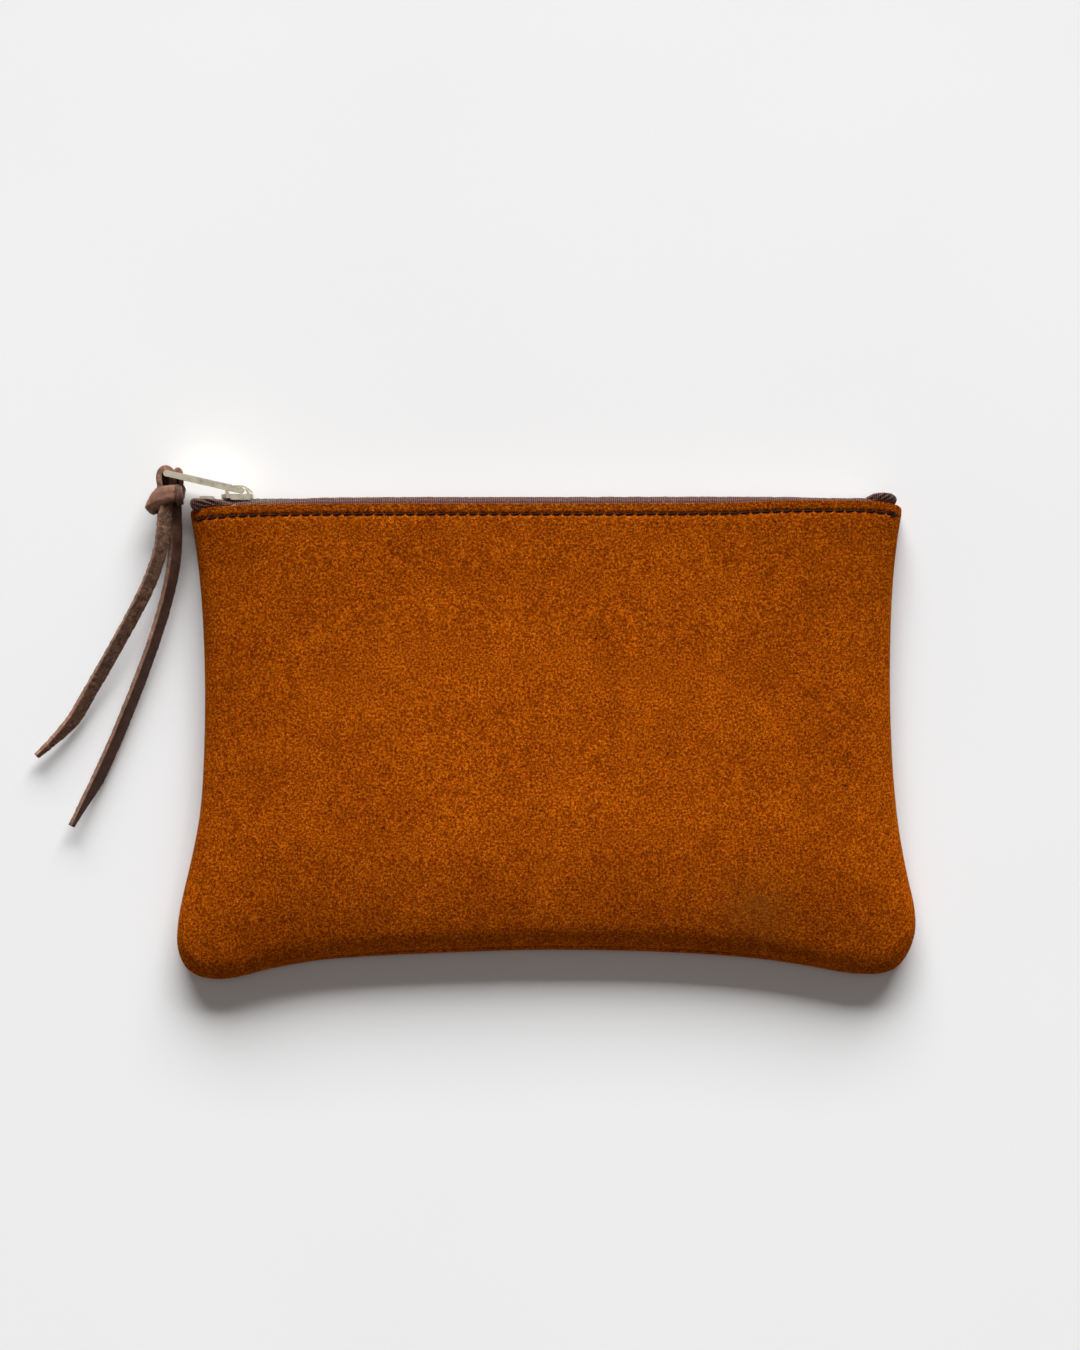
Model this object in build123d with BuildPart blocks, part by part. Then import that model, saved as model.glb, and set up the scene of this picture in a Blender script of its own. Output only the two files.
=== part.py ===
from build123d import *
import os
from math import cos, radians, sin, tan

# A flat suede pouch with a metal zip along its top edge, lying on its back.
# +X runs along the zip, +Y from the bottom seam to the zip, +Z out of the front panel.
# The origin is on the flat underside, midway across the pouch.

# Driving dimensions, in millimetres
leather = 1.3  # suede thickness
top_y = 65.7  # cut edge of both panels at the mouth
seam_z = 6.5  # plane where the two panels are sewn together
crown_z = 14.5  # highest point of the front panel
mouth_z = 12.7  # front panel's height at the mouth
lip_width = 6.0  # seam allowance turned into the pouch
lip_top_y = 56.0  # the side seams stop here, below the zip
flat_dip = 0.3  # how far the back panel's curve is cut flat, to rest on
reach = 30.0  # extrusion long enough to pass through the whole pouch

tape_thickness = 0.5
tape_gap = 0.05  # between a tape and the panel that it is sewn to
tape_half_length = 98.5
tape_low_y = 57.0  # inner edge of the woven tape
chain_y = 66.2  # middle plane of the zip chain
chain_half_width = 2.5
bead_z = 1.35  # from the chain's middle to the tape's edge

tooth_pitch = 2.2
tooth_length = 1.0
tooth_height = 2.2
tooth_first_x = -89.4
tooth_count = 81

end_height = 2.4  # each tape end is folded back over itself
tape_ends = [(-97.6, chain_y - 0.7, 8.4), (96.3, chain_y + 1.2, 8.8)]  # middle x, y and length
end_gap = 1.5  # from the chain's middle plane to a folded end
end_depth = 3.0

slider_nose_x = -93.3
slider_tail_x = -84.2
slider_half_width = 3.65
nose_half_width = 1.2
nose_taper = 1.6  # length of the slanted corners at the nose
tail_corner = 0.6
plate_thickness = 1.2
flange_width = 0.9
slot_half_height = 0.75  # gap in the slider's flanges that the tape runs through
chain_clearance = 0.1
post_start = 0.3  # from the nose to the post that parts the teeth
post_length = 2.9
post_half_width = 1.0
claw_hole_length = 1.1
claw_hole_width = 1.4
claw_hole_x = -85.7
claw_width = 1.0
claw_rise = 1.15  # the claw's tip above the chain's middle, clear of the teeth
crown_half_width = 1.3
crown_wall = 0.9
crown_left_x = -92.2
crown_right_x = -84.3
crown_top_y = 71.6
crown_gap = 0.3  # under the crown's right end, where the tab is slipped in

pivot_x = -87.8
pivot_y = 69.75
tab_angle = 12.8  # how far the pull tab is raised from the zip
tab_reach = 21.7  # from the tab's pivot to the middle of its end bar
tab_thickness = 1.8
tab_half_width = 3.3
pivot_bar_radius = 0.75
end_bar_radius = 0.95

lace_width = 4.0
lace_thickness = 1.8
loop_inner_radius = 1.15
loop_outer_radius = 2.35
knot_top_y = 71.3
knot_low_y = 62.8

stitch_pitch = 3.0
stitch_length = 2.3
thread = 0.55
stitch_rise = 0.2  # how far a stitch stands out of the leather
topstitch_y = 62.7
topstitch_count = 64
backstitch_spacing = 0.7
seam_inset = 3.0  # from the pouch's edge to the hidden seam

# The routes of the lace's two tails, from the knot to the slanted tips
left_tail_route = [
    (-109.6, 62.8, 7.7),
    (-110.4, 53.0, 7.0),
    (-114.6, 41.5, 5.4),
    (-122.8, 26.6, 3.6),
    (-131.2, 12.2, 2.3),
    (-138.0, 0.4, 1.7),
    (-146.1, -7.5, 1.4),
]
right_tail_route = [
    (-106.8, 62.8, 5.2),
    (-106.5, 52.8, 4.9),
    (-108.4, 41.0, 4.0),
    (-113.5, 24.5, 3.0),
    (-119.6, 8.5, 2.2),
    (-127.4, -10.0, 1.6),
    (-136.0, -27.3, 1.3),
]

os.makedirs("parts", exist_ok=True)


def save(builder, name):
    """Label a finished piece and write it as its own file."""
    builder.part.label = name
    export_step(builder.part, f"parts/{name}.step")


# ---- The pouch's outline and the shape of its two sides


def rise(share):
    """A curve that climbs from 0 at the seam to 1, where it is level."""
    return share * (2 - share) if share < 1 else 1.0


def half_width(y):
    """The sides are narrowest a little above the middle and flare to the bottom corners."""
    waist_y, waist = 14.0, 98.6
    if y > waist_y:
        return waist + 3.4 * ((y - waist_y) / 47.5) ** 2
    return waist + 7.4 * ((waist_y - y) / 70) ** 2


def bottom_y(x):
    """The bottom edge, pulled up in the middle by the pouch's thickness."""
    return -62.6 - 8.0 * (abs(x) / 94) ** 3


def fullness(x, y):
    """0 at the seam and 1 where the pouch has its full thickness."""
    down = rise(max(0.0, top_y - y) / 45)
    side = rise((half_width(y) - abs(x)) / (12 + 20 * down))
    return side * rise((y - bottom_y(x)) / 30)


def front_height(x, y):
    """Outer surface of the front panel."""
    edge = seam_z + 2 * leather
    dip = (crown_z - mouth_z) * (max(0.0, y - 5) / (top_y - 5)) ** 2
    return edge + (crown_z - dip - edge) * fullness(x, y)


def back_height(x, y):
    """Outer surface of the back panel, before it is cut flat at the table."""
    edge = seam_z - 2 * leather
    return (edge + flat_dip) * (1 - fullness(x, y)) - flat_dip


def surface(height, shift=0.0):
    """A smooth face through the heights over the whole pouch."""
    columns = [-112 + 8 * i for i in range(29)]
    rows = [-76 + 7.5 * j for j in range(21)]
    grid = [[Vector(x, y, height(x, y) + shift) for y in rows] for x in columns]
    return Face.make_surface_from_array_of_points(grid, tol=0.05)


side_points = [
    (102.0, 61.0),
    (99.4, 40.0),
    (98.6, 14.0),
    (99.9, -18.0),
    (103.3, -40.0),
    (106.0, -56.0),
    (102.6, -67.0),
    (94.0, -70.6),
    (78.0, -68.0),
    (56.0, -64.7),
    (28.0, -63.0),
    (0.0, -62.6),
]

with BuildSketch() as pouch_outline:
    with BuildLine():
        Line((0, top_y), (98.0, top_y))
        ThreePointArc((98.0, top_y), (101.0, 64.4), side_points[0])
        Spline(*side_points, tangents=[(-0.15, -1), (-1, 0)])
        mirror(about=Plane.YZ)
    make_face()


def ring(width):
    """A band of the outline along the sides and the bottom, open at the mouth."""
    across = 1 - width / half_width(0)
    along = 1 - width / top_y
    with BuildSketch() as band:
        add(pouch_outline.sketch)
        add(scale(pouch_outline.sketch, by=(across, along, 1), mode=Mode.PRIVATE), mode=Mode.SUBTRACT)
        with Locations((0, lip_top_y)):
            Rectangle(220, reach, align=(Align.CENTER, Align.MIN), mode=Mode.SUBTRACT)
    return band.sketch


lip_outline = ring(lip_width)  # the turned-in seam allowance
wall_outline = ring(leather)

# ---- Front panel

front_face = surface(front_height)
with BuildPart() as front_panel:
    thicken(front_face, amount=-leather, normal_override=(0, 0, 1))
    with BuildSketch():
        add(pouch_outline.sketch)
    extrude(amount=reach, mode=Mode.INTERSECT)
    with BuildSketch(Plane.XY.offset(seam_z)):
        add(lip_outline)
    extrude(amount=leather)
    with BuildSketch(Plane.XY.offset(seam_z)):
        add(wall_outline)
    extrude(amount=1.5 * leather)

save(front_panel, "front_panel")

# ---- Back panel, flat underneath where it lies on the table

back_face = surface(back_height)
with BuildPart() as back_panel:
    thicken(back_face, amount=leather, normal_override=(0, 0, 1))
    with BuildSketch():
        add(pouch_outline.sketch)
    extrude(amount=reach, mode=Mode.INTERSECT)
    with BuildSketch(Plane.XY.offset(seam_z)):
        add(lip_outline)
    extrude(amount=-leather)
    with BuildSketch(Plane.XY.offset(seam_z)):
        add(wall_outline)
    extrude(amount=-1.5 * leather)

save(back_panel, "back_panel")

# ---- Zip tapes: a woven strip inside each panel that turns over at the mouth


def tape(height, shift, side):
    """One tape; side is +1 for the front and -1 for the back."""
    face = surface(height, shift)
    bead = seam_z + side * bead_z
    steps = [-tape_half_length + 2 * tape_half_length * i / 16 for i in range(17)]
    middle = shift - side * tape_thickness / 2
    with BuildPart() as strip:
        thicken(face, amount=-side * tape_thickness, normal_override=(0, 0, 1))
        with BuildSketch():
            with Locations((0, tape_low_y)):
                Rectangle(
                    2 * tape_half_length,
                    chain_y + tape_thickness / 2 - tape_low_y,
                    align=(Align.CENTER, Align.MIN),
                )
        extrude(amount=reach, mode=Mode.INTERSECT)
        with BuildSketch(Plane.XZ.offset(-chain_y)):
            with BuildLine():
                fold = Spline(*[(x, height(x, chain_y) + middle) for x in steps])
                Polyline(fold @ 0, (-tape_half_length, bead), (tape_half_length, bead), fold @ 1)
            make_face()
        extrude(amount=tape_thickness / 2, both=True)
        for end_x, end_y, end_length in tape_ends:
            with BuildSketch(Plane.XY.offset(seam_z + side * end_gap)):
                with Locations((end_x, end_y)):
                    RectangleRounded(end_length, end_height, end_height / 2 - 0.05)
                    RectangleRounded(
                        end_length - 2 * tape_thickness,
                        end_height - 2 * tape_thickness,
                        end_height / 2 - tape_thickness - 0.05,
                        mode=Mode.SUBTRACT,
                    )
            extrude(amount=side * end_depth)
    return strip


front_zipper_tape = tape(front_height, -leather - tape_gap, 1)
back_zipper_tape = tape(back_height, leather + tape_gap, -1)
save(front_zipper_tape, "front_zipper_tape")
save(back_zipper_tape, "back_zipper_tape")

# ---- Teeth: each is a head that meshes with its neighbours and two legs gripping the tape


def tooth_row(first_x, side):
    """A row of separate teeth; side is +1 for the front tape and -1 for the back."""
    head_low, head_high = -0.65, 1.3
    leg_height = (tooth_height - tape_thickness) / 2 - tape_gap
    places = [(first_x + tooth_pitch * i, chain_y) for i in range(tooth_count)]
    with BuildPart() as row:
        with BuildSketch(Plane.XY.offset(seam_z + side * head_low)):
            with Locations(*places):
                Rectangle(tooth_length, tooth_height)
        extrude(amount=side * (head_high - head_low))
        with BuildSketch(Plane.XY.offset(seam_z + side * head_high)):
            with Locations(*places):
                with Locations(
                    (0, (tooth_height - leg_height) / 2), (0, -(tooth_height - leg_height) / 2)
                ):
                    Rectangle(tooth_length, leg_height)
        extrude(amount=side * (chain_half_width - head_high))
    return row


save(tooth_row(tooth_first_x, 1), "front_teeth")
save(tooth_row(tooth_first_x + tooth_pitch / 2, -1), "back_teeth")

# ---- Stops at the two ends of the chain


def stop(middle_x, length, low_y, high_y, low_z, high_z, slot_z):
    """A clamped metal stop with slots for the edges of the tapes that it grips."""
    with BuildPart() as clamp:
        with BuildSketch(Plane.XY.offset(seam_z + low_z)):
            with Locations((middle_x, low_y)):
                Rectangle(length, high_y - low_y, align=(Align.CENTER, Align.MIN))
        extrude(amount=high_z - low_z)
        fillet(clamp.edges().filter_by(Axis.Z), 0.6)
        for start, end in slot_z:
            with BuildSketch(Plane.XY.offset(seam_z + start)):
                with Locations((middle_x, chain_y)):
                    Rectangle(length + 1, tape_thickness + 2 * tape_gap)
            extrude(amount=end - start, mode=Mode.SUBTRACT)
    return clamp


stop_low_y = chain_y - 1.3
save(stop(-97.4, 4.3, stop_low_y, 68.0, 0.3, 2.6, [(1.3, 3.0)]), "front_top_stop")
save(stop(-97.4, 4.3, stop_low_y, 68.0, -2.6, -0.3, [(-3.0, -1.3)]), "back_top_stop")
save(
    stop(91.9, 2.6, stop_low_y, chain_y + 1.3, -2.6, 2.6, [(1.3, 3.0), (-3.0, -1.3)]),
    "bottom_stop",
)

# ---- Slider: two plates joined by a post at the nose, with flanges round the chain

inner_y = tooth_height / 2 + chain_clearance
top_plate_y = chain_y + inner_y + plate_thickness
with BuildPart() as slider_body:
    for plate_y, hand in ((chain_y + inner_y, -1), (chain_y - inner_y, 1)):
        with BuildSketch(Plane.XZ.offset(-plate_y)):
            with BuildLine():
                Polyline(
                    (slider_nose_x, seam_z - nose_half_width),
                    (slider_nose_x + nose_taper, seam_z - slider_half_width),
                    (slider_tail_x - tail_corner, seam_z - slider_half_width),
                    (slider_tail_x, seam_z - slider_half_width + tail_corner),
                    (slider_tail_x, seam_z + slider_half_width - tail_corner),
                    (slider_tail_x - tail_corner, seam_z + slider_half_width),
                    (slider_nose_x + nose_taper, seam_z + slider_half_width),
                    (slider_nose_x, seam_z + nose_half_width),
                    close=True,
                )
            make_face()
        extrude(amount=hand * plate_thickness)
        with BuildSketch(Plane.XZ.offset(-plate_y)):
            flange_start = slider_nose_x + nose_taper + tail_corner
            flange_length = slider_tail_x - tail_corner - flange_start - tail_corner
            with Locations(
                (flange_start + tail_corner, seam_z + slider_half_width - flange_width / 2),
                (flange_start + tail_corner, seam_z - slider_half_width + flange_width / 2),
            ):
                Rectangle(flange_length, flange_width, align=(Align.MIN, Align.CENTER))
        extrude(amount=-hand * (inner_y - slot_half_height))
    with BuildSketch(Plane.XZ.offset(-(chain_y + inner_y))):
        with BuildLine():
            Polyline(
                (slider_nose_x + post_start, seam_z),
                (slider_nose_x + post_start + 0.4 * post_length, seam_z + post_half_width),
                (slider_nose_x + post_start + post_length, seam_z),
                (slider_nose_x + post_start + 0.4 * post_length, seam_z - post_half_width),
                close=True,
            )
        make_face()
    extrude(amount=2 * inner_y)
    with BuildSketch(Plane.XZ.offset(-top_plate_y)):
        with Locations((claw_hole_x, seam_z)):
            Rectangle(claw_hole_length, claw_hole_width)
    extrude(amount=plate_thickness, mode=Mode.SUBTRACT)

save(slider_body, "slider_body")

# The crown arches over the tab's pivot bar; its right end stops just above the plate
with BuildPart() as slider_crown:
    with BuildSketch(Plane.XY.offset(seam_z - crown_half_width)):
        with BuildLine():
            outer = ThreePointArc((crown_left_x, 69.7), (-88.3, crown_top_y), (crown_right_x, 69.5))
            inner = ThreePointArc(
                (crown_left_x + crown_wall, 69.6),
                (-88.2, crown_top_y - 0.8),
                (crown_right_x - crown_wall, 69.4),
            )
            Polyline(
                outer @ 0,
                (crown_left_x, top_plate_y),
                (crown_left_x + crown_wall, top_plate_y),
                inner @ 0,
            )
            Polyline(
                inner @ 1,
                (crown_right_x - crown_wall, top_plate_y + crown_gap),
                (crown_right_x, top_plate_y + crown_gap),
                outer @ 1,
            )
        make_face()
    extrude(amount=2 * crown_half_width)
    fillet(slider_crown.faces().sort_by(Axis.Y)[-1].edges().filter_by(Axis.Z, reverse=True), 0.3)

save(slider_crown, "slider_crown")

# The spring claw hangs from the crown into the plate, held just clear of the teeth
with BuildPart() as lock_claw:
    with BuildSketch(Plane.XY.offset(seam_z - claw_width / 2)):
        with BuildLine():
            Polyline(
                (-86.0, chain_y + claw_rise),
                (-85.4, chain_y + claw_rise),
                (-85.4, 69.35),
                (-86.3, 70.25),
                (-86.7, 70.0),
                (-86.0, 69.2),
                close=True,
            )
        make_face()
    extrude(amount=claw_width)

save(lock_claw, "lock_claw")

# ---- Pull tab: a flat bar with a window round the crown and an eye for the lace

tab_along = Vector(-cos(radians(tab_angle)), sin(radians(tab_angle)), 0)
tab_side = Plane(origin=(pivot_x, pivot_y, seam_z), x_dir=tab_along, z_dir=(0, 0, -1))
end_bar = Vector(pivot_x, pivot_y, seam_z) + tab_along * tab_reach
window_length, window_half_width = 5.9, 1.75
eye_start, eye_half_width = 17.0, 2.3
with BuildPart() as pull_tab:
    with BuildSketch(tab_side):
        with Locations((tab_reach / 2, 0)):
            SlotCenterToCenter(tab_reach, tab_thickness)
    extrude(amount=tab_half_width, both=True)
    with BuildSketch(tab_side):
        with Locations((window_length, 0)):
            Rectangle(window_length + 2, tab_thickness + 1, align=(Align.MAX, Align.CENTER))
    extrude(amount=window_half_width, both=True, mode=Mode.SUBTRACT)
    with BuildSketch(tab_side):
        with Locations((eye_start, 0)):
            Rectangle(8.0, tab_thickness + 1, align=(Align.MIN, Align.CENTER))
    extrude(amount=eye_half_width, both=True, mode=Mode.SUBTRACT)
    with BuildSketch(tab_side):
        Circle(pivot_bar_radius)
        with Locations((tab_reach, 0)):
            Circle(end_bar_radius)
    extrude(amount=tab_half_width - 0.5, both=True)

save(pull_tab, "pull_tab")

# ---- Lace: a loop over the tab's end bar, the knot under it and two loose tails

with BuildPart() as lace_loop:
    with BuildSketch(Plane.XY.offset(seam_z)):
        with BuildLine():
            arch = CenterArc((end_bar.X, end_bar.Y), loop_outer_radius, 0, 180)
            bore = CenterArc((end_bar.X, end_bar.Y), loop_inner_radius, 0, 180)
            for end, hand in ((1, -1), (0, 1)):
                outer_x = end_bar.X + hand * loop_outer_radius
                inner_x = end_bar.X + hand * loop_inner_radius
                Polyline(arch @ end, (outer_x, knot_top_y), (inner_x, knot_top_y), bore @ end)
        make_face()
    extrude(amount=lace_thickness, both=True)

save(lace_loop, "lace_loop")

with BuildPart() as lace_knot:
    with BuildSketch(Plane.XY.offset(seam_z - 3.0)):
        with BuildLine():
            Polyline(
                (-111.6, knot_top_y),
                (-104.4, knot_top_y),
                (-104.2, 64.6),
                (-104.8, knot_low_y),
                (-112.4, knot_low_y),
                (-115.0, 66.4),
                close=True,
            )
        make_face()
        fillet(vertices(), 0.7)
    extrude(amount=6.0)
    fillet(lace_knot.faces().sort_by(Axis.Z)[-1].edges(), 1.0)

save(lace_knot, "lace_knot")


def corner_radii(route):
    """Arc radius at each inner point: 0.45 of the shorter run over the tangent of half the turn."""
    radii = []
    for before, point, after in zip(route, route[1:], route[2:]):
        run_in = Vector(*point) - Vector(*before)
        run_out = Vector(*after) - Vector(*point)
        shorter = min(run_in.length, run_out.length)
        radii.append(0.45 * shorter / tan(radians(run_in.get_angle(run_out)) / 2))
    return radii


def lace_tail(route):
    """A flat lace, lying on its width, along straight runs and tangent arcs."""
    radii = corner_radii(route)
    with BuildPart() as tail:
        with BuildLine():
            path = FilletPolyline(*route, radius=radii)
        with BuildSketch(Plane(origin=path @ 0, x_dir=(1, 0, 0), z_dir=path % 0)):
            Rectangle(lace_width, lace_thickness)
        sweep(path=path)
    swept = lace_width * lace_thickness * path.length
    print("tail radii", [round(radius, 1) for radius in radii])
    print("length", round(path.length, 1))
    print("volume", round(tail.part.volume, 1), "against section times length", round(swept, 1))
    return tail


save(lace_tail(left_tail_route), "lace_tail_left")
save(lace_tail(right_tail_route), "lace_tail_right")

# ---- Stitching: separate stitches through the leather


def topstitch(height, side):
    """The row that sews a tape to its panel, just below the cut edge."""
    through = leather + tape_thickness + 0.5
    with BuildPart() as row:
        for i in range(topstitch_count):
            x = (i - (topstitch_count - 1) / 2) * stitch_pitch
            z = max(0.0, height(x, topstitch_y) + side * stitch_rise)  # flush with the flat underside
            with BuildSketch(Plane.XY.offset(z)):
                with Locations((x, topstitch_y)):
                    Rectangle(stitch_length, thread)
            extrude(amount=-side * through)
    return row


save(topstitch(front_height, 1), "front_topstitch")
save(topstitch(back_height, -1), "back_topstitch")


def seam(places):
    """Stitches through both turned-in edges, at (x, y, angle)."""
    depth = leather + 0.3
    with BuildPart() as row:
        with BuildSketch(Plane.XY.offset(seam_z)):
            for x, y, angle in places:
                with Locations(Location((x, y, 0), angle)):
                    Rectangle(stitch_length, thread)
        extrude(amount=depth, both=True)
    return row


def side_places(hand):
    """Places of the stitches down one side seam."""
    heights = [53.0 - stitch_pitch * i for i in range(36)]
    return [(hand * (half_width(y) - seam_inset), y, 90) for y in heights]


bottom_places = [(x, bottom_y(x) + seam_inset, 0) for x in [stitch_pitch * i for i in range(-30, 31)]]
save(seam(side_places(-1)), "left_seam_stitches")
save(seam(side_places(1)), "right_seam_stitches")
save(seam(bottom_places), "bottom_seam_stitches")

# Extra stitches over each end of the front topstitch, sewn on top of one another
with BuildPart() as front_backstitches:
    for x, y in ((-99.6, 62.3), (99.2, 62.3)):
        with BuildSketch(Plane.XY.offset(front_height(x, y) + 0.3)):
            with Locations((x, y + backstitch_spacing), (x, y), (x, y - backstitch_spacing)):
                Rectangle(stitch_length, thread)
        extrude(amount=-leather)

save(front_backstitches, "front_backstitches")
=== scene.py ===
"""Blender scene for the zippered suede pouch: soft pieces are made here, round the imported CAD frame."""
import bpy
import math
import numpy as np
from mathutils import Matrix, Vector, noise


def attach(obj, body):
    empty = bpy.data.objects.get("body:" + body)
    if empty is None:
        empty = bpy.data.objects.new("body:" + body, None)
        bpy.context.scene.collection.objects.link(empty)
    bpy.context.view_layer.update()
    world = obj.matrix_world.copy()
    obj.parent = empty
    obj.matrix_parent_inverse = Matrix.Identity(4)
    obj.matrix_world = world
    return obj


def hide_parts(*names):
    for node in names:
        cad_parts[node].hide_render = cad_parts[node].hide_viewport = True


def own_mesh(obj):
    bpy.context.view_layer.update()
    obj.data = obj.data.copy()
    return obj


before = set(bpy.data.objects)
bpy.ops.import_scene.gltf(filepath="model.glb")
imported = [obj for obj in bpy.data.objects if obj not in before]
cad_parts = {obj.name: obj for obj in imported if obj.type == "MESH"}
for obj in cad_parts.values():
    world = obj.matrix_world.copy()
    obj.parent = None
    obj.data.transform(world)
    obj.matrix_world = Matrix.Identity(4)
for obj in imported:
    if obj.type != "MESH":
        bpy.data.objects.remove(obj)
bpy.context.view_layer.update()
MM = 0.001  # the shapes below are worked out in millimetres

# ---------------------------------------------------------------- sizes, in millimetres

LEATHER = 1.25  # thickness of the suede
COLUMNS = 960  # points round the pouch's outline
SEAM_Z = 5.8  # height of the seam that joins the two panels

# The front panel rises from the seam in a rolled edge, then in a shallow dome that dips at the mouth
EDGE_RISE = 3.4
SIDE_ROLL = 4.5
BOTTOM_ROLL = 7.0
DOME_RISE = 5.6
DOME_SIDE = 32
DOME_BOTTOM = 40
MOUTH_DIP = 2.0
DIP_START = 5
DIP_LENGTH = 60

# The back panel turns up to the seam
BACK_RISE = 3.0
BACK_SIDE_ROLL = 6.0
BACK_BOTTOM_ROLL = 8.0
BACK_LIFT = 0.3  # its mouth clears the table by this much
BACK_STITCH_Z = 0.52  # height of the back topstitch
SEAM_STEP = 1.25  # how far the front's bottom edge stops short of the back's
SIDE_TUCK = 0.5  # how far the back stays inside the front's outline at the sides
MOUTH_TUCK = 0.9  # and how much further at the mouth

STITCH_INSET = 3.0  # from the cut edge
STITCH_PITCH = 3.0
STITCH_COUNT = 67
STITCH_HALF = 1.40  # half of a stitch's length
STITCH_SLANT = 0.14
STITCH_SHIFT = 0.2  # of the whole row to the right
STITCH_RISE = 0.17  # a thread's middle above the leather
BACKSTITCH_RISE = 0.28
THREAD_RADIUS = 0.23
GROOVE_DEPTH = 0.26  # along the row of stitches, and as much again at each hole
GROOVE_WIDTH = 0.62
PULL_DEPTH = 0.10  # of the softer dip round the row
PULL_WIDTH = 1.5

CHAIN_Z = 6.5  # middle of the zip's chain of teeth
CHAIN_Y = 66.2
CHAIN_HALF = 1.35
TAPE_THICK = 0.45
TAPE_HALF = 100.0  # half of its length
TAPE_COLUMNS = 420
FRONT_TAPE_DROP = 0.35  # the tape's middle below the front suede's inner face
BACK_TAPE_RISE = 0.65  # and above the back suede's inner face
END_RIB_PITCH = 1.15

LACE_WIDTH = 4.0
LACE_THICK = 1.7
TAIL_TAPER = 15.0  # length of the slanted cut at a tail's tip
TIP_SHARE = 0.30  # width left at the tip
STRAP_CORNER = 0.22
CUFF_THICK = 1.25
CUFF_SQUARENESS = 0.82  # the power in its section's outline; 1 would be an ellipse
KNOT_X = -107.8

# Faces of a strap, which are also its material numbers
TOP_FACE, UNDER_FACE, CUT_SIDE = 0, 1, 2

SIDE_PAINTED_SHADE = 0.84  # painted shade: the suede's colour is darkened towards the sides
MOUTH_PAINTED_SHADE = 0.79  # and towards the mouth

# The pouch's outline, clockwise from the left end of the mouth
OUTLINE = [
    (-102.3, 62.8), (-101.6, 64.0), (-99.0, 64.3), (-94.0, 64.9), (-82.7, 65.4), (-48.0, 65.7),
    (0, 65.7), (48.0, 65.9), (67.0, 66.5), (90.0, 66.6), (98.0, 66.0), (101.8, 64.9), (102.3, 62.8),
    (101.2, 56.0), (99.9, 43.9), (99.2, 30.0), (99.0, 14.0), (99.3, 0.0), (100.1, -14.0),
    (101.6, -28.0), (104.0, -41.0), (105.9, -49.5), (106.3, -56.5), (104.6, -62.5), (101.0, -67.4),
    (96.0, -69.3), (90.0, -69.5), (84.0, -68.8), (72.9, -66.8), (55.7, -64.6), (30.0, -63.1),
    (0.0, -62.6), (-28.0, -63.4), (-50.0, -64.4), (-66.0, -65.7), (-79.2, -68.0), (-86.5, -69.9),
    (-93.6, -70.9), (-99.6, -70.1), (-103.8, -67.2), (-105.9, -62.0), (-106.0, -56.0),
    (-104.6, -47.5), (-101.7, -35.0), (-99.4, -22.0), (-98.4, -6.0), (-98.1, 12.0), (-98.6, 30.0),
    (-99.6, 44.0), (-101.0, 55.5),
]

# The lace's tails, from the knot to the tips
LEFT_TAIL = [
    (-109.0, 68.2, 7.6), (-109.6, 62.8, 7.9), (-110.4, 53.0, 7.4), (-114.6, 41.5, 6.0),
    (-122.8, 26.6, 4.2), (-131.2, 12.2, 3.0), (-138.0, 0.4, 2.4), (-146.1, -7.5, 2.1),
]
RIGHT_TAIL = [
    (-107.0, 68.2, 5.6), (-106.8, 62.8, 5.2), (-106.5, 52.8, 4.9), (-108.4, 41.0, 4.2),
    (-113.5, 24.5, 3.4), (-119.6, 8.5, 2.8), (-127.4, -10.0, 2.4), (-136.0, -27.3, 2.2),
]

# ---------------------------------------------------------------- mesh helpers


def make_piece(name, points, faces, materials, body, face_materials=None):
    """A smooth mesh from points in millimetres, riding on a body."""
    mesh = bpy.data.meshes.new(name)
    mesh.from_pydata([tuple(c * MM for c in p) for p in points], [], faces)
    mesh.update()
    for item in materials:
        mesh.materials.append(item)
    if face_materials is not None:
        mesh.polygons.foreach_set("material_index", face_materials)
    mesh.polygons.foreach_set("use_smooth", [True] * len(mesh.polygons))
    piece = bpy.data.objects.new(name, mesh)
    bpy.context.scene.collection.objects.link(piece)
    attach(piece, body)
    return piece


def grid_faces(rows, columns, wrap=False):
    """Quads between rows of points; wrap joins each row's last point to its first."""
    faces = []
    for r in range(rows - 1):
        for c in range(columns if wrap else columns - 1):
            d = (c + 1) % columns
            a, b = r * columns, (r + 1) * columns
            faces.append((a + c, a + d, b + d, b + c))
    return faces


def smooth_line(points, count, closed=False):
    """Evenly spaced points on a Catmull-Rom curve through the given ones."""
    p = np.array(points, float)
    if closed:
        p = np.vstack([p[-1], p, p[0], p[1]])
    else:
        p = np.vstack([2 * p[0] - p[1], p, 2 * p[-1] - p[-2]])
    dense = []
    for i in range(1, len(p) - 2):
        t = np.linspace(0, 1, 24, endpoint=False)[:, None]
        a, b, c, d = p[i - 1], p[i], p[i + 1], p[i + 2]
        curve = 2 * b + (c - a) * t
        curve = curve + (2 * a - 5 * b + 4 * c - d) * t**2 + (3 * b - a - 3 * c + d) * t**3
        dense.append(0.5 * curve)
    dense = np.vstack(dense + [p[-2][None]])
    length = np.concatenate([[0], np.cumsum(np.linalg.norm(np.diff(dense, axis=0), axis=1))])
    at = np.linspace(0, length[-1], count, endpoint=not closed)
    return np.stack([np.interp(at, length, dense[:, k]) for k in range(p.shape[1])], axis=1)


# ---------------------------------------------------------------- material helpers


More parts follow.
